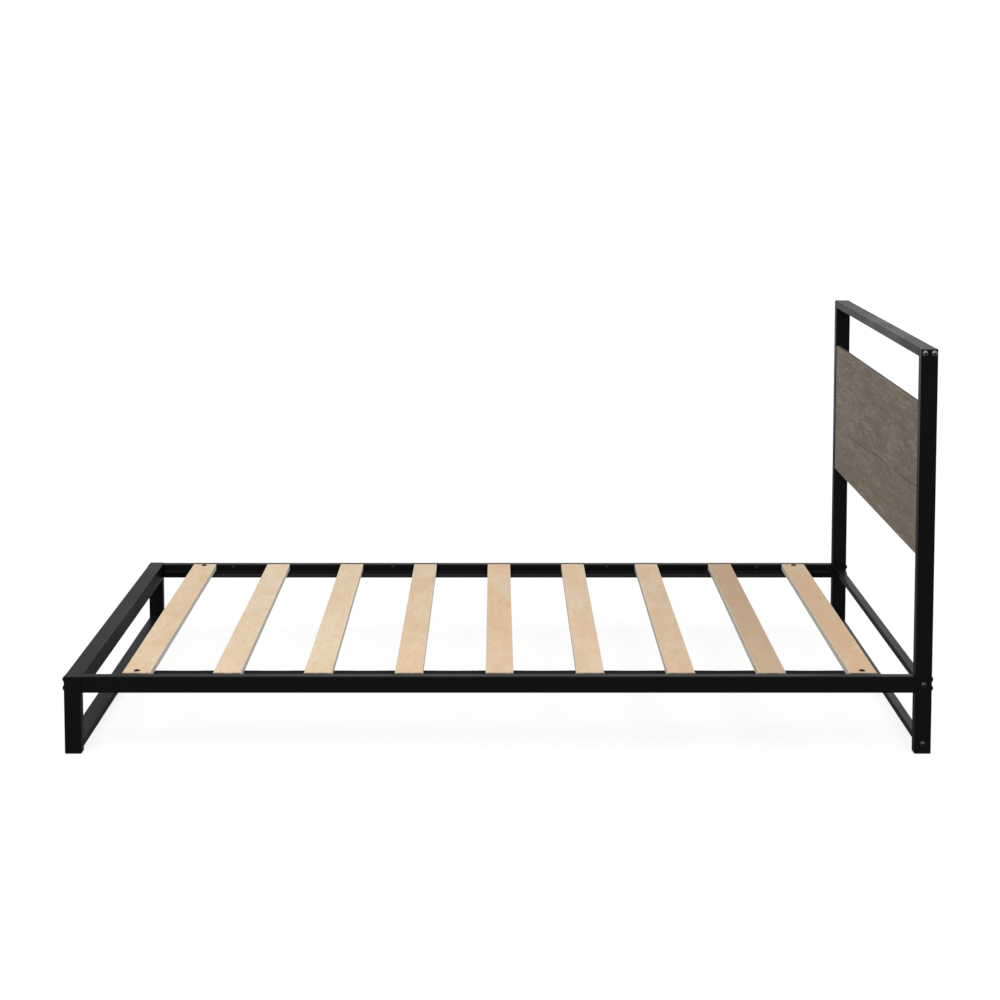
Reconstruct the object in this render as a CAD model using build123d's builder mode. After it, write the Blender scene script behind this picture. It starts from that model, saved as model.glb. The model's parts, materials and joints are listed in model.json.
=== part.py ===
from build123d import *
import os

# Twin-size metal platform bed frame with a wooden headboard panel and nine slats.
# Millimetres. The origin is on the floor under the middle of the bed, +X points to the
# head end, +Y to the far side, +Z up. "near" pieces are at -Y and "far" pieces at +Y.

# ---- driving dimensions ----
frame_length = 1956     # over the outer faces of the foot legs and the head posts
frame_width = 990       # over the outer faces of the legs and posts
post_height = 921       # head posts
rail_top = 178          # tops of the foot legs, foot beam and side rails

wall = 1.5              # all steel tubes
corner_radius = 2       # their outer corners
end_bevel = 0.5         # around their cut ends
leg_x = 38              # leg, post and beam size along the bed
leg_y = 25              # leg and post size across the bed
side_rail_y = 20        # side rails, on the middle of the legs
rail_height = 38
foot_beam_height = 44
flat_rail_height = 19   # top rail and foot stretcher, laid flat
thin_rail_x = 20        # cross rail and head stretcher
thin_rail_height = 15
foot_stretcher_base = 9
head_stretcher_middle = 23

panel_thickness = 10
panel_base = 452
panel_height = 345
panel_gap = 1           # between the panel's ends and the posts
panel_setback = 1.5     # panel face behind the posts' mattress-side faces
panel_bevel = 0.8       # along all its edges

slat_count = 9
slat_pitch = 206
slat_shift = 4          # of the middle slat towards the head end
slat_width = 63
slat_thickness = 18
slat_length = 939
slat_top = 180
slat_edge_radius = 2.5  # long edges
slat_end_bevel = 0.6

ledge_thickness = 2
ledge_depth = 22        # flange that carries the slats
ledge_rise = 16         # flange that is riveted to the side rail
ledge_end_gap = 10      # between the ledge's ends and the legs
webbing_width = 38
webbing_thickness = 1.5
webbing_middle = 419    # its distance from the bed's centre line
webbing_setback = 4     # between its ends and the outer edges of the end slats

bolt_radius = 3.9       # M8 shank
bolt_hole_radius = 4.3
thread_hole_radius = 4.05
bolt_head_radius = 7
bolt_head_height = 5.5
lengthwise_bolt = 50    # under its head, through a leg into a side rail
crosswise_bolt = 36     # under its head, through a post into a rail across
corner_bolt_spacing = 20
top_bolt_spacing = 20
plate_thickness = 6     # threaded end plates
plug_depth = 14         # threaded plugs in the thin rails
top_plate_thickness = 2
plate_corner_radius = 1

slat_bolt_radius = 3    # M6 shank
slat_bolt_hole_radius = 3.2
slat_bolt_head_radius = 7.5
slat_bolt_head_height = 3
slat_bolt_inset = 13    # from the slat's end
slat_bolt_reach = 7     # under the ledge
nut_radius = 5.75       # over its corners
nut_height = 5
nut_hole_radius = 3.15

rivet_radius = 2
rivet_hole_radius = 2.1
rivet_head_radius = 5.5
rivet_head_height = 1.8
rivet_head_fillet = 1.4
rivet_bulb_radius = 3   # its blind end inside the rail
rivet_bulb_height = 2
rivet_rise = 7          # rivets above the slats' undersides

staple_width = 12
staple_wire = 1.2
staple_depth = 8        # into the slat
staple_offset = 16      # from the slat's centre line
staple_hole_width = 1.6
staple_hole_depth = 8.3

bracket_thickness = 2
bracket_reach = 30      # over the panel's back
bracket_height = 30
bracket_depth = 22      # along the post's face
bracket_inset = 50      # from the panel's top and bottom
screw_insets = [9, 21]  # from the post's inner face
screw_radius = 1.6
screw_length = 8.5
screw_head_radius = 4
screw_head_height = 2
screw_pilot_radius = 1.7
screw_pilot_depth = 8.8
screw_hole_radius = 1.8

glide_height = 4        # plastic under the legs
glide_bevel = 1.5
glide_stem_height = 12
glide_stem_wall = 2.5

# ---- worked-out positions ----
half_length = frame_length / 2
half_width = frame_width / 2
end_x = half_length - leg_x / 2         # middle of the legs and posts, lengthwise
inner_x = half_length - leg_x           # their faces towards the mattress
side_y = half_width - leg_y / 2         # middle of the legs, posts and side rails
inner_y = half_width - leg_y            # the legs' and posts' faces towards the mattress
rail_inner_y = side_y - side_rail_y / 2
rail_middle = rail_top - rail_height / 2
top_rail_middle = post_height - flat_rail_height / 2
slat_base = slat_top - slat_thickness
ledge_base = slat_base - ledge_thickness
middle_slat = (slat_count - 1) / 2
slat_positions = [slat_shift + slat_pitch * (i - middle_slat) for i in range(slat_count)]
bolted_slats = [slat_positions[0], slat_positions[-1]]
slat_bolt_y = slat_length / 2 - slat_bolt_inset
rivet_positions = [-740, -293, 307, 727]
sides = {"near": -1, "far": 1}
above = (Align.CENTER, Align.CENTER, Align.MIN)
below = (Align.CENTER, Align.CENTER, Align.MAX)

os.makedirs("parts", exist_ok=True)


def save(piece, name):
    """Label a finished piece and write it to its own file."""
    piece.label = name
    export_step(piece, f"parts/{name}.step")


def facing(x, y, z, direction, across):
    """Plane at a point whose normal is direction and whose local X is across."""
    return Plane(origin=(x, y, z), x_dir=across, z_dir=direction)


def tube(start_plane, width, height, length):
    """Rectangular steel tube, open at both ends, along the start plane's normal."""
    start_axis = Axis(start_plane.origin, start_plane.z_dir)
    with BuildPart() as body:
        with BuildSketch(start_plane):
            RectangleRounded(width, height, corner_radius)
            RectangleRounded(
                width - 2 * wall, height - 2 * wall, corner_radius - wall, mode=Mode.SUBTRACT
            )
        extrude(amount=length)
        for mouth in (body.faces().sort_by(start_axis)[0], body.faces().sort_by(start_axis)[-1]):
            chamfer(mouth.outer_wire().edges(), end_bevel)
    return body.part


def drilled(body, planes, radius, depth):
    """The body with a round hole of the given depth below each plane."""
    with BuildPart() as piece:
        add(body)
        with Locations(*planes):
            Cylinder(radius, depth, align=below, mode=Mode.SUBTRACT)
    return piece.part


def button_bolt(length, shank_radius, head_radius, head_height):
    """Button-head bolt with a hex socket, its head above XY and its shank below."""
    crown_height = 0.8 * head_height
    crown_radius = (head_radius**2 + crown_height**2) / (2 * crown_height)
    socket_radius = 0.4 * head_radius
    socket_depth = 0.6 * head_height
    tip_bevel = 0.15 * shank_radius
    with BuildPart() as bolt:
        Cylinder(head_radius, head_height, align=above)
        with Locations((0, 0, head_height - crown_radius)):
            Sphere(crown_radius, mode=Mode.INTERSECT)
        with BuildSketch(Plane.XY.offset(head_height)):
            RegularPolygon(socket_radius, 6)
        extrude(amount=-socket_depth, mode=Mode.SUBTRACT)
        Cylinder(shank_radius, length, align=below)
        chamfer(bolt.edges().group_by(Axis.Z)[0], tip_bevel)
    return bolt.part


def copies(piece, places):
    """One separate solid of the piece at each place."""
    with BuildPart() as group:
        with Locations(*places):
            add(piece)
    return group.part


def closing_plate(width, height, thickness):
    """Plate that fills the mouth of a tube of that size, its face on XY, the rest below."""
    with BuildPart() as plate:
        with BuildSketch(Plane.XY):
            RectangleRounded(width - 2 * wall, height - 2 * wall, plate_corner_radius)
        extrude(amount=-thickness)
    return plate.part


# ---- bolt places, each a plane on an outer face with its normal pointing out ----
rail_bolt_heights = [rail_middle - corner_bolt_spacing / 2, rail_middle + corner_bolt_spacing / 2]


def corner_bolt_places(end, sign):
    """Places of the two bolts of one corner; end is -1 at the foot and 1 at the head."""
    return [
        facing(end * half_length, sign * side_y, z, (end, 0, 0), (0, 1, 0))
        for z in rail_bolt_heights
    ]


def cross_bolt_places(sign, spots):
    """Places on a head post's outer face for bolts that run across the bed."""
    return [facing(x, sign * half_width, z, (0, sign, 0), (1, 0, 0)) for x, z in spots]


top_bolt_spots = [
    (end_x - top_bolt_spacing / 2, top_rail_middle),
    (end_x + top_bolt_spacing / 2, top_rail_middle),
]
cross_bolt_spots = [(end_x, rail_middle)]
stretcher_bolt_spots = [(end_x, head_stretcher_middle)]
all_cross_spots = top_bolt_spots + cross_bolt_spots + stretcher_bolt_spots

# ---- legs and posts ----
for side, sign in sides.items():
    leg_foot = Plane((-end_x, sign * side_y, glide_height))
    leg = tube(leg_foot, leg_x, leg_y, rail_top - glide_height)
    leg = drilled(leg, corner_bolt_places(-1, sign), bolt_hole_radius, leg_x)
    save(leg, f"foot_leg_{side}")

    post_foot = Plane((end_x, sign * side_y, glide_height))
    post = tube(post_foot, leg_x, leg_y, post_height - glide_height)
    post = drilled(post, corner_bolt_places(1, sign), bolt_hole_radius, leg_x)
    post = drilled(post, cross_bolt_places(sign, all_cross_spots), bolt_hole_radius, leg_y)
    save(post, f"head_post_{side}")

top_plate = closing_plate(leg_x, leg_y, top_plate_thickness)
leg_tops = [(-end_x, -side_y, rail_top), (-end_x, side_y, rail_top)]
post_tops = [(end_x, -side_y, post_height), (end_x, side_y, post_height)]
save(copies(top_plate, leg_tops), "foot_leg_top_plates")
save(copies(top_plate, post_tops), "head_post_top_plates")

# ---- plastic glides: a foot with rounded rims and a hollow stem in the tube ----
with BuildPart() as glide:
    with BuildSketch(Plane.XY):
        RectangleRounded(leg_x, leg_y, corner_radius)
    extrude(amount=glide_height)
    chamfer(glide.edges().group_by(Axis.Z)[0], glide_bevel)
    with BuildSketch(Plane.XY.offset(glide_height)):
        stem_x = leg_x - 2 * wall
        stem_y = leg_y - 2 * wall
        RectangleRounded(stem_x, stem_y, plate_corner_radius)
        Rectangle(stem_x - 2 * glide_stem_wall, stem_y - 2 * glide_stem_wall, mode=Mode.SUBTRACT)
    extrude(amount=glide_stem_height)

save(copies(glide.part, [(-end_x, -side_y, 0), (-end_x, side_y, 0)]), "foot_leg_glides")
save(copies(glide.part, [(end_x, -side_y, 0), (end_x, side_y, 0)]), "head_post_glides")

# ---- tubes across the bed, between the legs and between the posts ----


def cross_tube(x, middle_height, width, height):
    """Tube across the bed from the far inner face to the near one."""
    far_end = facing(x, inner_y, middle_height, (0, -1, 0), (1, 0, 0))
    return tube(far_end, width, height, 2 * inner_y)


foot_beam_middle = rail_top - foot_beam_height / 2
foot_stretcher_middle = foot_stretcher_base + flat_rail_height / 2
save(cross_tube(-end_x, foot_beam_middle, leg_x, foot_beam_height), "foot_beam")
save(cross_tube(-end_x, foot_stretcher_middle, leg_x, flat_rail_height), "foot_stretcher")
save(cross_tube(end_x, top_rail_middle, leg_x, flat_rail_height), "head_top_rail")
save(cross_tube(end_x, rail_middle, thin_rail_x, thin_rail_height), "head_cross_rail")
save(cross_tube(end_x, head_stretcher_middle, thin_rail_x, thin_rail_height), "head_stretcher")


def end_fittings(width, height, thickness, spots):
    """Threaded plates flush in both mouths of a tube across the bed; spots are its bolts."""
    middle_height = spots[0][1]
    mouths = [
        facing(end_x, sign * inner_y, middle_height, (0, sign, 0), (1, 0, 0))
        for sign in sides.values()
    ]
    plates = copies(closing_plate(width, height, thickness), mouths)
    bolts = cross_bolt_places(-1, spots) + cross_bolt_places(1, spots)
    return drilled(plates, bolts, thread_hole_radius, leg_y + thickness)


def thin_rail_plugs(spots):
    return end_fittings(thin_rail_x, thin_rail_height, plug_depth, spots)


top_rail_plates = end_fittings(leg_x, flat_rail_height, plate_thickness, top_bolt_spots)
save(top_rail_plates, "top_rail_end_plates")
save(thin_rail_plugs(cross_bolt_spots), "cross_rail_plugs")
save(thin_rail_plugs(stretcher_bolt_spots), "head_stretcher_plugs")

# ---- side rails ----
rivet_height = slat_base + rivet_rise
for side, sign in sides.items():
    foot_mouth = facing(-inner_x, sign * side_y, rail_middle, (1, 0, 0), (0, 1, 0))
    rail = tube(foot_mouth, side_rail_y, rail_height, 2 * inner_x)
    rivet_planes = [
        facing(x, sign * rail_inner_y, rivet_height, (0, -sign, 0), (1, 0, 0))
        for x in rivet_positions
    ]
    save(drilled(rail, rivet_planes, rivet_hole_radius, wall), f"side_rail_{side}")

corners = [(end, sign) for end in (-1, 1) for sign in sides.values()]
rail_mouths = [
    facing(end * inner_x, sign * side_y, rail_middle, (end, 0, 0), (0, 1, 0))
    for end, sign in corners
]
rail_plates = copies(closing_plate(side_rail_y, rail_height, plate_thickness), rail_mouths)
for end, sign in corners:
    places = corner_bolt_places(end, sign)
    rail_plates = drilled(rail_plates, places, thread_hole_radius, leg_x + plate_thickness)
save(rail_plates, "side_rail_end_plates")

# ---- slat ledges: an angle along each side rail, riveted to its inner wall ----
ledge_length = 2 * (inner_x - ledge_end_gap)
for side, sign in sides.items():
    ledge_start = (-ledge_length / 2, sign * rail_inner_y, ledge_base)
    with BuildPart() as ledge:
        with BuildSketch(facing(*ledge_start, (1, 0, 0), (0, 1, 0))):
            with BuildLine():
                Polyline(
                    (0, 0),
                    (0, ledge_rise),
                    (-sign * ledge_thickness, ledge_rise),
                    (-sign * ledge_thickness, ledge_thickness),
                    (-sign * ledge_depth, ledge_thickness),
                    (-sign * ledge_depth, 0),
                    close=True,
                )
            make_face()
        extrude(amount=ledge_length)
        corner = (0, sign * rail_inner_y, ledge_base)
        fillet(ledge.edges().filter_by(Axis.X).sort_by_distance(corner)[0], ledge_thickness)
    rivet_planes = [
        facing(x, sign * rail_inner_y, rivet_height, (0, sign, 0), (1, 0, 0))
        for x in rivet_positions
    ]
    bolt_planes = [
        facing(x, sign * slat_bolt_y, slat_base, (0, 0, 1), (1, 0, 0))
        for x in bolted_slats
    ]
    riveted = drilled(ledge.part, rivet_planes, rivet_hole_radius, ledge_thickness)
    bolted = drilled(riveted, bolt_planes, slat_bolt_hole_radius, ledge_thickness)
    save(bolted, f"slat_ledge_{side}")

with BuildPart() as rivet:
    Cylinder(rivet_head_radius, rivet_head_height, align=above)
    fillet(rivet.edges().group_by(Axis.Z)[-1], rivet_head_fillet)
    Cylinder(rivet_radius, ledge_thickness + wall, align=below)
    with Locations((0, 0, -ledge_thickness - wall)):
        Cylinder(rivet_bulb_radius, rivet_bulb_height, align=below)
rivet_faces = [
    facing(x, sign * (rail_inner_y - ledge_thickness), rivet_height, (0, -sign, 0), (1, 0, 0))
    for sign in sides.values()
    for x in rivet_positions
]
save(copies(rivet.part, rivet_faces), "ledge_rivets")

# ---- slats ----


def staple_leg_spots(slat_x):
    """Where the staples' legs enter one slat: two staples a side, two legs each."""
    leg_shift = (staple_width - staple_wire) / 2
    return [
        (slat_x + along, sign * webbing_middle + across)
        for sign in sides.values()
        for along in (-staple_offset, staple_offset)
        for across in (-leg_shift, leg_shift)
    ]


def slat(x):
    """Pine slat with eased long edges and the small holes its staples make."""
    with BuildPart() as board:
        with Locations((x, 0, slat_base)):
            Box(slat_width, slat_length, slat_thickness, align=above)
        fillet(board.edges().filter_by(Axis.Y), slat_edge_radius)
        chamfer(board.faces().filter_by(Axis.Y).edges(), slat_end_bevel)
        with BuildSketch(Plane.XY.offset(slat_base)):
            with Locations(*staple_leg_spots(x)):
                Rectangle(staple_hole_width, staple_hole_width)
        extrude(amount=staple_hole_depth, mode=Mode.SUBTRACT)
        if x in bolted_slats:
            with Locations((x, -slat_bolt_y, slat_top), (x, slat_bolt_y, slat_top)):
                Cylinder(slat_bolt_hole_radius, slat_thickness, align=below, mode=Mode.SUBTRACT)
    return board.part


for number, x in enumerate(slat_positions, start=1):
    save(slat(x), f"slat_{number}")

# ---- webbing under the slats, and the staples that hold it ----
webbing_length = slat_positions[-1] - slat_positions[0] + slat_width - 2 * webbing_setback
all_leg_spots = [spot for x in slat_positions for spot in staple_leg_spots(x)]
for side, sign in sides.items():
    with BuildPart() as webbing:
        with BuildSketch(Plane.XY.offset(slat_base)):
            with Locations((slat_shift, sign * webbing_middle)):
                Rectangle(webbing_length, webbing_width)
            with Locations(*[(x, y) for x, y in all_leg_spots if y * sign > 0]):
                Rectangle(staple_hole_width, staple_hole_width, mode=Mode.SUBTRACT)
        extrude(amount=-webbing_thickness)
    save(webbing.part, f"slat_webbing_{side}")

crown_base = slat_base - webbing_thickness - staple_wire
half_staple = staple_width / 2
staple_height = slat_base + staple_depth - crown_base
with BuildPart() as staple:
    with BuildSketch(Plane.YZ.offset(-staple_wire / 2)):
        with BuildLine():
            Polyline(
                (-half_staple, 0),
                (half_staple, 0),
                (half_staple, staple_height),
                (half_staple - staple_wire, staple_height),
                (half_staple - staple_wire, staple_wire),
                (staple_wire - half_staple, staple_wire),
                (staple_wire - half_staple, staple_height),
                (-half_staple, staple_height),
                close=True,
            )
        make_face()
    extrude(amount=staple_wire)
staple_spots = [
    (x + along, sign * webbing_middle, crown_base)
    for x in slat_positions
    for sign in sides.values()
    for along in (-staple_offset, staple_offset)
]
save(copies(staple.part, staple_spots), "webbing_staples")

# ---- bolts and nuts of the first and the last slat ----
slat_bolt_length = slat_thickness + ledge_thickness + slat_bolt_reach
slat_bolt = button_bolt(
    slat_bolt_length, slat_bolt_radius, slat_bolt_head_radius, slat_bolt_head_height
)
slat_bolt_spots = [(x, y) for x in bolted_slats for y in (-slat_bolt_y, slat_bolt_y)]
save(copies(slat_bolt, [(x, y, slat_top) for x, y in slat_bolt_spots]), "slat_bolts")

with BuildPart() as nut:
    with BuildSketch(Plane.XY):
        RegularPolygon(nut_radius, 6)
        Circle(nut_hole_radius, mode=Mode.SUBTRACT)
    extrude(amount=-nut_height)
save(copies(nut.part, [(x, y, ledge_base) for x, y in slat_bolt_spots]), "slat_bolt_nuts")

# ---- headboard panel, its brackets and its screws ----
panel_front_x = inner_x + panel_setback
panel_back_x = panel_front_x + panel_thickness
bracket_heights = [panel_base + bracket_inset, panel_base + panel_height - bracket_inset]
screw_places = [
    facing(panel_back_x + bracket_thickness, sign * (inner_y - inset), z, (1, 0, 0), (0, 1, 0))
    for sign in sides.values()
    for z in bracket_heights
    for inset in screw_insets
]

with BuildPart() as board:
    with BuildSketch(Plane.XY.offset(panel_base)):
        with Locations((panel_front_x + panel_thickness / 2, 0)):
            Rectangle(panel_thickness, 2 * (inner_y - panel_gap))
    extrude(amount=panel_height)
    chamfer(board.edges(), panel_bevel)
save(drilled(board.part, screw_places, screw_pilot_radius, screw_pilot_depth), "headboard_panel")

with BuildPart() as brackets:
    for sign in sides.values():
        inwards = (Align.MIN, Align.MAX if sign > 0 else Align.MIN, Align.CENTER)
        with Locations(*[(panel_back_x, sign * inner_y, z) for z in bracket_heights]):
            Box(bracket_thickness, bracket_reach, bracket_height, align=inwards)
            Box(bracket_depth, bracket_thickness, bracket_height, align=inwards)
save(drilled(brackets.part, screw_places, screw_hole_radius, bracket_thickness), "panel_brackets")

panel_screw = button_bolt(screw_length, screw_radius, screw_head_radius, screw_head_height)
save(copies(panel_screw, screw_places), "panel_screws")

# ---- frame bolts ----
corner_bolt = button_bolt(lengthwise_bolt, bolt_radius, bolt_head_radius, bolt_head_height)
cross_bolt = button_bolt(crosswise_bolt, bolt_radius, bolt_head_radius, bolt_head_height)
for end, name in ((-1, "foot_corner_bolts"), (1, "head_corner_bolts")):
    places = [place for sign in sides.values() for place in corner_bolt_places(end, sign)]
    save(copies(corner_bolt, places), name)
for name, spots in (
    ("top_rail_bolts", top_bolt_spots),
    ("cross_rail_bolts", cross_bolt_spots),
    ("head_stretcher_bolts", stretcher_bolt_spots),
):
    save(copies(cross_bolt, cross_bolt_places(-1, spots) + cross_bolt_places(1, spots)), name)
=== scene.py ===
"""The looks of the metal bed frame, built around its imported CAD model.

Metres, in the frame's own axes: +X is the head end, -Y the near side, +Z up.
"""

import json
import math

import bmesh
import bpy
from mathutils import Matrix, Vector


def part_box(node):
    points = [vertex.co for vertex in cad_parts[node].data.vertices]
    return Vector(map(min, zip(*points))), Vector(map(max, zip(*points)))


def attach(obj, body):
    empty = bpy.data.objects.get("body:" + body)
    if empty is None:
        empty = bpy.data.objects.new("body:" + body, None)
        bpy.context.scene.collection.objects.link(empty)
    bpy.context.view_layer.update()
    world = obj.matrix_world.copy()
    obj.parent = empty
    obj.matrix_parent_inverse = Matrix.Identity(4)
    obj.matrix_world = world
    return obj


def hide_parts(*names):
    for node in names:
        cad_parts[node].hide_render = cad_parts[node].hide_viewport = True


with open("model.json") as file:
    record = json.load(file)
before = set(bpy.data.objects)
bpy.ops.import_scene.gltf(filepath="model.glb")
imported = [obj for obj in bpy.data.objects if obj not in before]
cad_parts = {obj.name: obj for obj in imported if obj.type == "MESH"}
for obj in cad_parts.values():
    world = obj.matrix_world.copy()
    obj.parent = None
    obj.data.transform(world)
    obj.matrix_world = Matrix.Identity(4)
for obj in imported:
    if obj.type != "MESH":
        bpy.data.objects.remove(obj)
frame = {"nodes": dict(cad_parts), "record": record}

MM = 0.001

# The floor as the camera sees it, and its plain reflecting share.
FLOOR_GLOW = 0.82
FLOOR_SHARE = 0.27
# The floor as the frame's surfaces see it: dim around the bed and bright far behind it, with
# the distances over which it brightens.
FLOOR_HIDDEN_SHARE = 0.12
FLOOR_DIM = 0.10
FLOOR_BRIGHT = 0.80
FLOOR_BRIGHTENS = (1.5, 5.0)
# The surround as the frame's surfaces see it: dim low down on the near side, bright elsewhere.
SKY_DIM = 0.24
SKY_LEFT = 0.42
SKY_BRIGHT = 0.97

# The camera: its place, how far it looks below level in degrees, its lens in millimetres, and
# the lens shift that frames the bed.
CAMERA_PLACE = (-0.0036, -4.3223, 1.4542)
CAMERA_TILT = 4.331
CAMERA_LENS = 62.58
CAMERA_SHIFT = (0.0038, -0.26)

SLAT_COUNT = 9
PLY_THICKNESS = 1.5 * MM

# The headboard's crack: its height at the middle of the bed, its slope towards the far side,
# how far it wanders, how far out its dark core and its soft edge reach, and where it fades out.
CRACK_HEIGHT = 0.575
CRACK_SLOPE = -0.040
CRACK_WANDER = 0.026
CRACK_CORE = 0.5 * MM
CRACK_EDGE = 2.6 * MM
CRACK_FADE = (0.20, 0.32)

# Webbing: the pitch of its ribs and threads, how long its ribs lean before they turn back, how
# much it sags between two slats, and the length of its mesh's steps.
RIB_PITCH = 1.6 * MM
THREAD_PITCH = 1.1 * MM
CHEVRON = 5.5 * MM
STRAP_SAG = 0.4 * MM
STRAP_STEP = 4 * MM

# Weld beads: their size, the length of their mesh's steps, how far they stay inside the tube's
# width, and their ripples' length and share of the radius.
BEAD_RADIUS = 3.0 * MM
BEAD_STEP = 0.6 * MM
BEAD_INSET = 3 * MM
RIPPLE_LENGTH = 2.4 * MM
RIPPLE_SHARE = 0.10

# Angles of a half circle in equal steps, both ends included.
HALF_CIRCLE = [math.pi * i / 4 for i in range(5)]

nodes = frame["nodes"]
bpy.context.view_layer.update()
scene = bpy.context.scene
slot_of = {part["node"]: part["material_slot"] for part in frame["record"]["subparts"]}


# ---- building materials ----
class Graph:
    """A node tree whose nodes are added by short methods."""

    def __init__(self, tree):
        self.tree = tree

    def add(self, kind, inputs=(), **settings):
        """A new node; each input is a link if it is a socket and a constant if not."""
        made = self.tree.nodes.new("ShaderNode" + kind)
        for name, value in settings.items():
            setattr(made, name, value)
        for key, value in dict(inputs).items():
            self.put(made.inputs[key], value)
        return made

    def put(self, socket, value):
        if isinstance(value, bpy.types.NodeSocket):
            self.tree.links.new(value, socket)
        else:
            socket.default_value = value

    def noise(self, where, scale, detail=2.0, rough=0.5, bend=0.0):
        inputs = {
            "Vector": where, "Scale": scale, "Detail": detail, "Roughness": rough, "Distortion": bend
        }
        return self.add("TexNoise", inputs).outputs["Fac"]

    def calc(self, operation, first, second=0.0):
        made = self.add("Math", {0: first, 1: second}, operation=operation)
        return made.outputs[0]

    def span(self, value, low, high, to_low=0.0, to_high=1.0):
        """The value taken from low..high to to_low..to_high, smoothly and clamped."""
        inputs = {"Value": value, 1: low, 2: high, 3: to_low, 4: to_high}
        return self.add("MapRange", inputs, interpolation_type="SMOOTHSTEP").outputs["Result"]

    def mix(self, share, first, second):
        made = self.add("Mix", data_type="RGBA")
        self.put(made.inputs[0], share)
        self.put(made.inputs[6], first if isinstance(first, bpy.types.NodeSocket) else (*first, 1))
        self.put(made.inputs[7], second if isinstance(second, bpy.types.NodeSocket) else (*second, 1))
        return made.outputs[2]

    def axes(self, vector):
        return self.add("SeparateXYZ", {"Vector": vector}).outputs


class Surface(Graph):
    """A material with one Principled shader."""

    def __init__(self, name, metallic=0.0, specular=0.5):
        self.material = bpy.data.materials.new(name)
        self.material.use_nodes = True
        super().__init__(self.material.node_tree)
        self.shader = self.tree.nodes["Principled BSDF"]
        self.shader.inputs["Metallic"].default_value = metallic
        self.shader.inputs["Specular IOR Level"].default_value = specular

    def place(self, stretch=(1, 1, 1), shift=(0, 0, 0)):
        """Positions on the object in metres, stretched along each axis."""
        where = self.add("TexCoord").outputs["Object"]
        inputs = {"Vector": where, "Scale": stretch, "Location": shift}
        return self.add("Mapping", inputs).outputs["Vector"]

    def normal_axes(self):
        """Sizes of the surface normal's three components, 1 on a face square to that axis."""
        facing = self.add("NewGeometry").outputs["Normal"]
        return self.axes(self.add("VectorMath", {0: facing}, operation="ABSOLUTE").outputs["Vector"])

    def edges(self):
        """1 on rounded corners and 0 on the flat faces, which are all square to an axis."""
        x, y, z = self.normal_axes()
        largest = self.calc("MAXIMUM", self.calc("MAXIMUM", x, y), z)
        return self.span(largest, 0.72, 0.995, 1.0, 0.0)

    def finish(self, colour, roughness, height, depth):
        """Connects what varies over the surface; depth is the relief's height in metres."""
        self.put(self.shader.inputs["Base Color"], colour)
        self.put(self.shader.inputs["Roughness"], roughness)
        bump = self.add("Bump", {"Height": height, "Distance": depth, "Strength": 1.0})
        self.put(self.shader.inputs["Normal"], bump.outputs["Normal"])
        return self.material


def powder_coat():
    """Satin black powder coat: orange peel under a millimetre wide, lighter on the corners, partly a
    thinner coat there and partly a painted highlight.
    """
    coat = Surface("powder_coat", specular=0.13)
    peel = coat.noise(coat.place(), 900, 3)
    speck = coat.noise(coat.place(shift=(3, 1, 2)), 2600, 1)
    cloud = coat.noise(coat.place(), 5, 4)
    colour = coat.mix(cloud, (0.0054, 0.0054, 0.0056), (0.0080, 0.0079, 0.0077))
    colour = coat.mix(coat.span(speck, 0.60, 0.75, 0.0, 0.5), colour, (0.013, 0.013, 0.013))
    # Rounded corners lightened: partly the thinner coat there, partly a painted highlight along the
    # edges.
    colour = coat.mix(coat.calc("MULTIPLY", coat.edges(), 0.55), colour, (0.020, 0.019, 0.018))
    satin = coat.span(cloud, 0.3, 0.7, 0.34, 0.42)
    roughness = coat.calc("ADD", satin, coat.calc("MULTIPLY", peel, 0.06))
    relief = coat.calc("ADD", peel, coat.calc("MULTIPLY", speck, 0.4))
    return coat.finish(colour, roughness, relief, 0.05 * MM)


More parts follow.
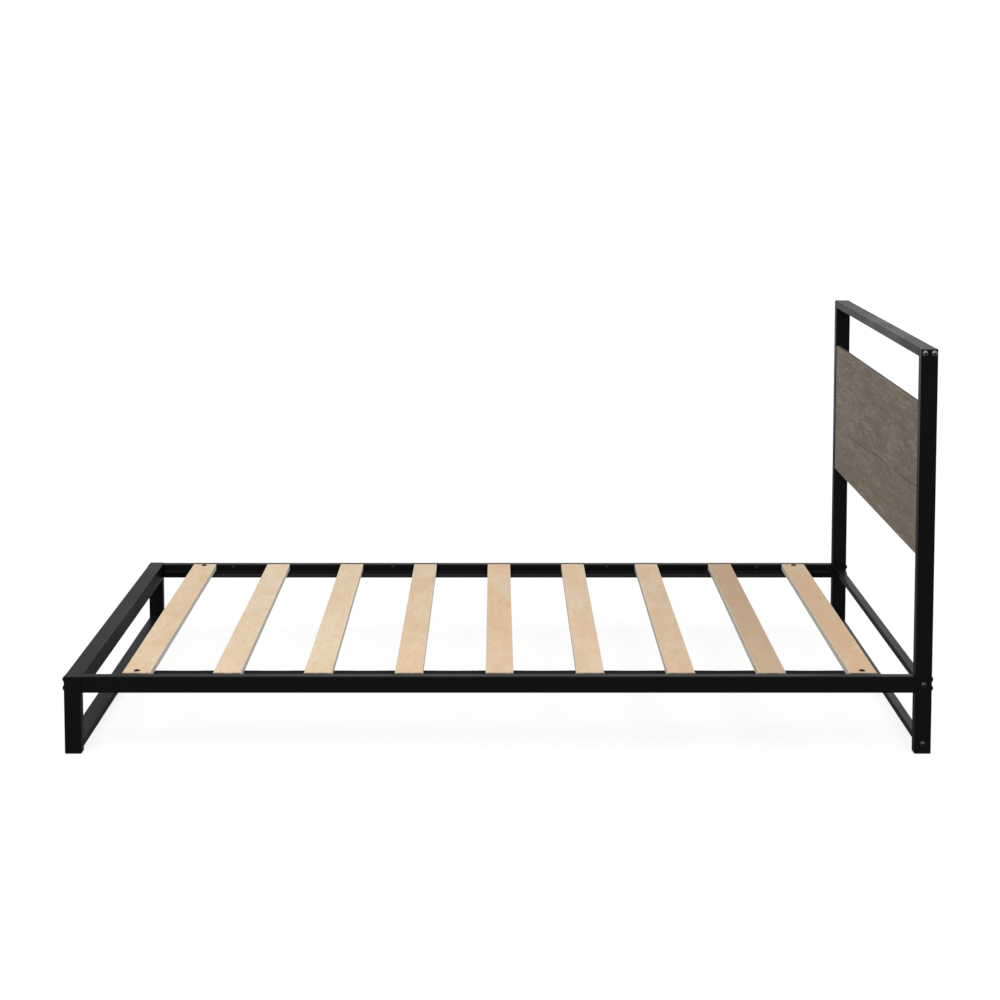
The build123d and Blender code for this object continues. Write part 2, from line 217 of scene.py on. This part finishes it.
def slat_wood(name, tan, light, far_shade, seed):
    """Pale planed wood with its grain across the bed and thin plies along its edges.

    tan and light set its tone, and the painted-shade share sets how much darker its far end is.
    """
    wood = Surface(name, specular=0.25)
    shift = (seed * 1.7, seed * 3.1, seed * 0.9)
    fibres = wood.noise(wood.place((1, 0.035, 1), shift), 900, 4, 0.6)
    bands = wood.noise(wood.place((1, 0.09, 1), shift), 60, 3, 0.5, 1.2)
    flame = wood.noise(wood.place((1, 0.26, 1), shift), 34, 5, 0.60, 2.0)
    cloud = wood.noise(wood.place((1, 0.45, 1), shift), 12, 3, 0.5, 0.8)
    fleck = wood.noise(wood.place((1, 0.22, 1), shift), 150, 3, 0.6, 0.6)
    pores = wood.noise(wood.place((1, 0.05, 1), shift), 1500, 2)

    pale = tuple(light * c for c in (0.800, 0.662, 0.470))
    warm = tuple(light * c for c in (0.735, 0.512, 0.305))
    pink = tuple(light * c for c in (0.700, 0.455, 0.285))
    colour = wood.mix(wood.calc("ADD", wood.span(cloud, 0.35, 0.65, -0.28, 0.28), tan), pale, warm)
    colour = wood.mix(wood.span(flame, 0.50, 0.66, 0.0, 0.36 + 0.20 * tan), colour, pink)
    colour = wood.mix(wood.span(bands, 0.35, 0.65, 0.0, 0.16), colour, pink)
    colour = wood.mix(wood.span(fleck, 0.54, 0.68, 0.0, 0.22), colour, (0.52, 0.34, 0.20))
    colour = wood.mix(wood.span(fibres, 0.30, 0.72, 0.16, 0.0), colour, pink)
    colour = wood.mix(wood.span(pores, 0.66, 0.80, 0.0, 0.45), colour, (0.42, 0.27, 0.16))

    place = wood.axes(wood.place())
    # Painted shade: each slat is darkened towards its far end.
    colour = wood.mix(wood.span(place["Y"], -0.45, 0.45, 0.0, far_shade), colour, (0.20, 0.12, 0.07))
    # Painted highlight: the rounded long edges are lightened.
    colour = wood.mix(wood.calc("MULTIPLY", wood.edges(), 0.80), colour, (0.92, 0.86, 0.76))

    wobble = wood.calc("MULTIPLY", wood.noise(wood.place((1, 0.2, 0.3), shift), 40, 2), 5)
    turns = wood.calc("ADD", wood.calc("MULTIPLY", place["Z"], 2 * math.pi / PLY_THICKNESS), wobble)
    plies = wood.span(wood.calc("SINE", turns), -1, 1)
    ply_colour = wood.mix(plies, (0.78, 0.69, 0.56), (0.98, 0.91, 0.79))
    burn = wood.noise(wood.place(shift=shift), 55, 2)
    end_colour = wood.mix(plies, (0.26, 0.145, 0.075), (0.52, 0.36, 0.22))
    end_colour = wood.mix(wood.span(burn, 0.40, 0.62), end_colour, (0.60, 0.46, 0.31))
    facing = wood.normal_axes()
    colour = wood.mix(wood.span(facing["X"], 0.75, 0.95), colour, ply_colour)
    colour = wood.mix(wood.span(facing["Y"], 0.75, 0.95), colour, end_colour)

    roughness = wood.span(fibres, 0.3, 0.7, 0.50, 0.62)
    relief = wood.calc("ADD", fibres, wood.calc("MULTIPLY", pores, -0.5))
    return wood.finish(colour, roughness, relief, 0.06 * MM)


def panel_veneer():
    """Weathered grey-brown veneer: its grain runs across the bed, with one dark crack."""
    board = Surface("panel_veneer", specular=0.15)
    fibres = board.noise(board.place((1, 0.06, 1)), 700, 5, 0.65)
    streaks = board.noise(board.place((1, 0.07, 1), (0, 2, 0)), 90, 4, 0.6, 0.8)
    figure = board.noise(board.place((1, 0.22, 1), (4, 1, 3)), 16, 5, 0.6, 1.8)
    cloud = board.noise(board.place((1, 0.6, 1), (1, 5, 2)), 6, 3)
    saw = board.noise(board.place((1, 1, 0.05), (2, 2, 2)), 320, 2)
    fine = board.noise(board.place((1, 0.16, 1), (3, 3, 1)), 80, 4, 0.6, 1.2)

    colour = board.mix(board.span(cloud, 0.3, 0.7), (0.288, 0.212, 0.156), (0.369, 0.287, 0.223))
    colour = board.mix(board.span(figure, 0.50, 0.68, 0.0, 0.50), colour, (0.420, 0.330, 0.250))
    colour = board.mix(board.span(figure, 0.48, 0.32, 0.0, 0.40), colour, (0.215, 0.160, 0.122))
    colour = board.mix(board.span(fine, 0.52, 0.66, 0.0, 0.65), colour, (0.561, 0.449, 0.347))
    colour = board.mix(board.span(fine, 0.47, 0.34, 0.0, 0.60), colour, (0.176, 0.130, 0.100))
    colour = board.mix(board.span(streaks, 0.42, 0.70, 0.0, 0.45), colour, (0.161, 0.121, 0.091))
    colour = board.mix(board.span(fibres, 0.35, 0.62, 0.45, 0.0), colour, (0.085, 0.068, 0.058))
    colour = board.mix(board.span(saw, 0.55, 0.75, 0.0, 0.20), colour, (0.275, 0.244, 0.220))

    low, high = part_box("headboard_panel")
    place = board.axes(board.place())
    y, z = place["Y"], place["Z"]
    end_gap = board.calc("SUBTRACT", high.y, board.calc("ABSOLUTE", y))
    edge_gap = board.calc("MINIMUM", board.calc("SUBTRACT", high.z, z), board.calc("SUBTRACT", z, low.z))
    colour = board.mix(board.span(z, high.z, low.z, 0.02, 0.24), colour, (0.430, 0.365, 0.305))
    # Painted highlight: a pale band inside the panel's ends and edges, and on its chamfers.
    edge_highlight = (0.330, 0.290, 0.250)
    border_highlight = board.span(board.calc("MINIMUM", end_gap, edge_gap), 4 * MM, 10 * MM, 0.16, 0.0)
    colour = board.mix(border_highlight, colour, edge_highlight)

    wander = board.noise(board.place((0, 1, 0)), 7, 3)
    crack_height = board.calc("ADD", board.calc("MULTIPLY", y, CRACK_SLOPE), CRACK_HEIGHT)
    crack_height = board.calc("ADD", crack_height, board.calc("MULTIPLY", wander, CRACK_WANDER))
    off_crack = board.calc("ABSOLUTE", board.calc("SUBTRACT", z, crack_height))
    crack = board.span(off_crack, CRACK_CORE, CRACK_EDGE, 1.0, 0.0)
    crack = board.calc("MULTIPLY", crack, board.span(y, *CRACK_FADE, 1.0, 0.0))
    crack = board.calc("MULTIPLY", crack, board.span(streaks, 0.36, 0.56, 0.45, 1.0))
    colour = board.mix(board.calc("MULTIPLY", crack, 0.58), colour, (0.030, 0.024, 0.020))
    # Painted highlight on the chamfered edges.
    colour = board.mix(board.calc("MULTIPLY", board.edges(), 0.6), colour, edge_highlight)
    up = board.normal_axes()["Z"]
    colour = board.mix(board.span(up, 0.8, 0.97), colour, (0.085, 0.066, 0.052))

    roughness = board.span(fibres, 0.3, 0.7, 0.62, 0.50)
    relief = board.calc("ADD", fibres, board.calc("MULTIPLY", crack, -3))
    return board.finish(colour, roughness, relief, 0.15 * MM)


def black_fastener(name, dark, light, metallic=1.0, specular=0.5):
    """Blackened steel, glossy, with fine turning marks and painted shade in the hex sockets."""
    steel = Surface(name, metallic=metallic, specular=specular)
    marks = steel.noise(steel.place(), 1800, 3)
    cloud = steel.noise(steel.place(), 160, 2)
    colour = steel.mix(cloud, (dark, dark, dark), (light, light, 0.97 * light))
    # Painted shade: occlusion darkens the hex sockets and the hollows round the heads.
    socket_shade = steel.add("AmbientOcclusion", {"Distance": 2.5 * MM}).outputs["AO"]
    colour = steel.mix(steel.span(socket_shade, 0.60, 0.96, 0.96, 0.0), colour, (0.003, 0.003, 0.003))
    roughness = steel.span(marks, 0.3, 0.7, 0.12, 0.22)
    return steel.finish(colour, roughness, marks, 0.015 * MM)


def zinc_steel():
    """Bright zinc plate with a fine brushed grain and faint yellow and blue clouds."""
    zinc = Surface("zinc_steel", metallic=1.0)
    brushed = zinc.noise(zinc.place((1, 0.1, 1)), 1600, 3)
    cloud = zinc.noise(zinc.place(), 60, 3)
    colour = zinc.mix(zinc.span(cloud, 0.35, 0.65), (0.50, 0.53, 0.57), (0.62, 0.60, 0.52))
    colour = zinc.mix(zinc.span(brushed, 0.3, 0.7, 0.0, 0.3), colour, (0.36, 0.37, 0.38))
    roughness = zinc.span(brushed, 0.3, 0.7, 0.28, 0.42)
    return zinc.finish(colour, roughness, brushed, 0.02 * MM)


def webbing():
    """Black polyester webbing: a twill of ribs that lean across the strap."""
    weave = Surface("webbing", specular=0.09)
    place = weave.axes(weave.place())
    lean = weave.calc("PINGPONG", weave.calc("ADD", place["Y"], 1.0), CHEVRON)
    leaning = weave.calc("ADD", place["X"], lean)
    ribs = weave.calc("SINE", weave.calc("MULTIPLY", leaning, 2 * math.pi / RIB_PITCH))
    threads = weave.calc("SINE", weave.calc("MULTIPLY", place["Y"], 2 * math.pi / THREAD_PITCH))
    relief = weave.calc("ADD", ribs, weave.calc("MULTIPLY", threads, 0.5))
    fuzz = weave.noise(weave.place(), 2500, 2)
    colour = weave.mix(weave.span(relief, -1.2, 1.2), (0.006, 0.006, 0.006), (0.016, 0.016, 0.017))
    colour = weave.mix(weave.span(fuzz, 0.5, 0.8, 0.0, 0.3), colour, (0.020, 0.020, 0.021))
    roughness = weave.span(fuzz, 0.3, 0.7, 0.80, 0.92)
    return weave.finish(colour, roughness, relief, 0.18 * MM)


def black_plastic():
    """Moulded black polyethylene with a fine spark-eroded grain and scuffed edges."""
    plastic = Surface("black_plastic", specular=0.35)
    grain = plastic.noise(plastic.place(), 1500, 3)
    scuff = plastic.noise(plastic.place((1, 1, 0.2)), 300, 4)
    cloud = plastic.noise(plastic.place(), 40, 2)
    colour = plastic.mix(cloud, (0.008, 0.008, 0.008), (0.014, 0.014, 0.015))
    edge_highlight = plastic.calc("MULTIPLY", plastic.edges(), plastic.span(scuff, 0.4, 0.7))
    colour = plastic.mix(edge_highlight, colour, (0.045, 0.045, 0.045))
    roughness = plastic.span(scuff, 0.3, 0.7, 0.45, 0.62)
    return plastic.finish(colour, roughness, grain, 0.04 * MM)


def pale_floor():
    """Pale studio floor, lit mostly from within so that shadows on it stay faint."""
    floor = Surface("studio_floor", specular=0.0)
    grain = floor.noise(floor.place(), 300, 3)
    seen = floor.add("LightPath").outputs["Is Camera Ray"]
    y = floor.axes(floor.place())["Y"]
    lit = floor.span(y, *FLOOR_BRIGHTENS, FLOOR_DIM, FLOOR_BRIGHT)
    unseen = floor.calc("MULTIPLY", floor.calc("SUBTRACT", 1.0, seen), lit)
    glow = floor.calc("ADD", floor.calc("MULTIPLY", seen, FLOOR_GLOW), unseen)
    floor.shader.inputs["Emission Color"].default_value = (1, 1, 1, 1)
    floor.put(floor.shader.inputs["Emission Strength"], glow)
    colour = floor.mix(grain, (0.94 * FLOOR_SHARE,) * 3, (0.98 * FLOOR_SHARE,) * 3)
    colour = floor.mix(seen, (FLOOR_HIDDEN_SHARE,) * 3, colour)
    return floor.finish(colour, 0.9, grain, 0.1 * MM)


# ---- the studio ----
def surround():
    """White to the camera; to surfaces, dim low on the near side and softer low on the left."""
    world = bpy.data.worlds.new("studio_world")
    scene.world = world
    world.use_nodes = True
    sky = Graph(world.node_tree)
    lit = sky.tree.nodes["Background"]
    lit.inputs["Color"].default_value = (1, 1, 1, 1)
    x, y, z = sky.axes(sky.add("TexCoord").outputs["Generated"])
    share = sky.calc("MAXIMUM", sky.span(z, 0.05, 0.60), sky.span(y, -0.15, 0.50))
    strength = sky.span(share, 0.0, 1.0, SKY_DIM, SKY_BRIGHT)
    low_left = sky.calc("MULTIPLY", sky.span(x, -0.08, -0.24), sky.span(z, 0.75, 0.45))
    leftwards = sky.span(low_left, 0.0, 1.0, 1.0, SKY_LEFT)
    sky.put(lit.inputs["Strength"], sky.calc("MULTIPLY", strength, leftwards))
    seen = sky.add("Background", {"Strength": 1.0, "Color": (1, 1, 1, 1)})
    path = sky.add("LightPath")
    links = {0: path.outputs["Is Camera Ray"], 1: lit.outputs[0], 2: seen.outputs[0]}
    pick = sky.add("MixShader", links)
    sky.put(sky.tree.nodes["World Output"].inputs["Surface"], pick.outputs[0])


def lamp(name, kind, energy, place, turn, **settings):
    """A light of that kind, turned by three angles in degrees."""
    data = bpy.data.lights.new(name, kind)
    data.energy = energy
    for key, value in settings.items():
        setattr(data, key, value)
    made = bpy.data.objects.new(name, data)
    made.location = place
    made.rotation_euler = [math.radians(angle) for angle in turn]
    scene.collection.objects.link(made)


def studio():
    """A wide pale floor, the surround, a weak soft sun and one softbox on the near left."""
    bpy.ops.mesh.primitive_circle_add(vertices=128, radius=80, fill_type="NGON")
    floor = bpy.context.object
    floor.name = "studio_floor"
    floor.data.materials.append(pale_floor())
    surround()
    lamp("soft_sun", "SUN", energy=0.25, place=(0, 0, 3), turn=(18, -12, 0), angle=math.radians(70))
    lamp("softbox", "AREA", energy=34, place=(-2.4, -2.6, 3.3), turn=(40, 0, -42), size=1.3)
    scene.view_settings.view_transform = "Standard"


def camera():
    """A side view from above the mattress, framed by lens shift."""
    data = bpy.data.cameras.new("camera")
    data.sensor_width = 36
    data.lens = CAMERA_LENS
    data.shift_x, data.shift_y = CAMERA_SHIFT
    data.clip_end = 300
    made = bpy.data.objects.new("camera", data)
    made.location = CAMERA_PLACE
    made.rotation_euler = (math.radians(90 - CAMERA_TILT), 0, 0)
    scene.collection.objects.link(made)
    scene.camera = made


# ---- pieces modelled here ----
def linked(mesh, name):
    """The finished mesh as a smooth object of that name."""
    bmesh.ops.recalc_face_normals(mesh, faces=mesh.faces)
    data = bpy.data.meshes.new(name)
    mesh.to_mesh(data)
    mesh.free()
    data.shade_smooth()
    made = bpy.data.objects.new(name, data)
    scene.collection.objects.link(made)
    return made


def skin(mesh, rings):
    """Faces between rings of vertices, closed at both ends."""
    for first, second in zip(rings, rings[1:]):
        for j in range(len(first)):
            k = (j + 1) % len(first)
            mesh.faces.new((first[j], first[k], second[k], second[j]))
    mesh.faces.new(reversed(rings[0]))
    mesh.faces.new(rings[-1])


def strap(side):
    """One strap with rounded selvedges, as long and as thick as its CAD solid."""
    low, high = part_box(f"slat_webbing_{side}")
    slats = [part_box(f"slat_{i}") for i in range(1, SLAT_COUNT + 1)]
    gaps = [(a[1].x, b[0].x) for a, b in zip(slats, slats[1:])]

    def sag(x):
        for start, end in gaps:
            if start < x < end:
                share = (x - start) / (end - start)
                return STRAP_SAG * 16 * (share * (1 - share)) ** 2
        return 0.0

    half = (high.z - low.z) / 2
    outline = [(low.y + half - half * math.sin(a), -half * math.cos(a)) for a in HALF_CIRCLE]
    outline += [(high.y - half + half * math.sin(a), half * math.cos(a)) for a in HALF_CIRCLE]
    count = round((high.x - low.x) / STRAP_STEP)
    mesh = bmesh.new()
    rings = []
    for i in range(count + 1):
        x = low.x + (high.x - low.x) * i / count
        middle = high.z - half - sag(x)
        rings.append([mesh.verts.new((x, y, middle + z)) for y, z in outline])
    skin(mesh, rings)
    return linked(mesh, f"webbing_strap_{side}")


def weld_bead(name, corner_y, corner_z, y_sign, z_sign):
    """A rippled fillet weld along X in a corner; the signs point out of the corner."""
    low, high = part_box("foot_stretcher")
    start, end = low.x + BEAD_INSET, high.x - BEAD_INSET
    count = round((end - start) / BEAD_STEP)
    mesh = bmesh.new()
    rings = []
    for i in range(count + 1):
        share = i / count
        ripple = 1 + RIPPLE_SHARE * math.sin(2 * math.pi * share * (end - start) / RIPPLE_LENGTH)
        taper = min(1.0, 6 * share + 0.35, 6 * (1 - share) + 0.35)
        reach = BEAD_RADIUS * ripple * taper
        ring = [mesh.verts.new((start + (end - start) * share, corner_y, corner_z))]
        for a in HALF_CIRCLE:
            y = corner_y + y_sign * reach * math.cos(a / 2)
            z = corner_z + z_sign * reach * math.sin(a / 2)
            ring.append(mesh.verts.new((ring[0].co.x, y, z)))
        rings.append(ring)
    skin(mesh, rings)
    return linked(mesh, name)


def foot_frame_welds():
    """Fillet welds where the foot beam and the foot stretcher meet the legs."""
    beam_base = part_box("foot_beam")[0].z
    low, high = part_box("foot_stretcher")
    for side, corner_y, inwards in (("near", low.y, 1), ("far", high.y, -1)):
        yield weld_bead(f"weld_beam_{side}", corner_y, beam_base, inwards, -1)
        yield weld_bead(f"weld_stretcher_top_{side}", corner_y, high.z, inwards, 1)
        yield weld_bead(f"weld_stretcher_base_{side}", corner_y, low.z, inwards, -1)


# ---- putting it together ----
finishes = {
    "powder_coat": powder_coat(),
    "panel_veneer": panel_veneer(),
    "black_fastener": black_fastener("black_fastener", 0.004, 0.009, metallic=0.0, specular=0.2),
    "zinc_steel": zinc_steel(),
    "webbing": webbing(),
    "black_plastic": black_plastic(),
}
# Lit copies of the black fastener: the top rail bolts get a brighter metallic copy as a painted
# highlight, and the other bolts and the rivets a half-bright one as a painted sheen.
painted_highlight_bolts = black_fastener("painted_highlight_fastener", 0.17, 0.27)
painted_sheen_bolts = black_fastener("painted_sheen_fastener", 0.06, 0.11)
lit_bolt_copies = {
    "top_rail_bolts": painted_highlight_bolts,
    "cross_rail_bolts": painted_sheen_bolts,
    "head_stretcher_bolts": painted_sheen_bolts,
    "ledge_rivets": painted_sheen_bolts,
}
for name, node in nodes.items():
    if slot_of[name] in finishes:
        node.data.materials.clear()
        node.data.materials.append(lit_bolt_copies.get(name, finishes[slot_of[name]]))

# Tan, light and painted far-end shade of each slat's wood, from the foot end to the head end.
slat_tones = [
    (0.45, 0.975, 0.05),
    (0.15, 1.000, 0.05),
    (0.15, 1.025, 0.10),
    (0.45, 1.020, 0.13),
    (0.70, 0.985, 0.04),
    (0.50, 0.995, 0.06),
    (0.50, 0.960, 0.07),
    (1.00, 0.830, 0.22),
    (0.90, 0.985, 0.14),
]
for number, (tan, light, far_shade) in enumerate(slat_tones, start=1):
    wood = slat_wood(f"slat_wood_{number}", tan, light, far_shade, number)
    nodes[f"slat_{number}"].data.materials.clear()
    nodes[f"slat_{number}"].data.materials.append(wood)

for side in ("near", "far"):
    piece = strap(side)
    piece.data.materials.append(finishes["webbing"])
    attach(piece, "root")
    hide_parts(f"slat_webbing_{side}")
for piece in foot_frame_welds():
    piece.data.materials.append(finishes["powder_coat"])
    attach(piece, "root")

studio()
camera()
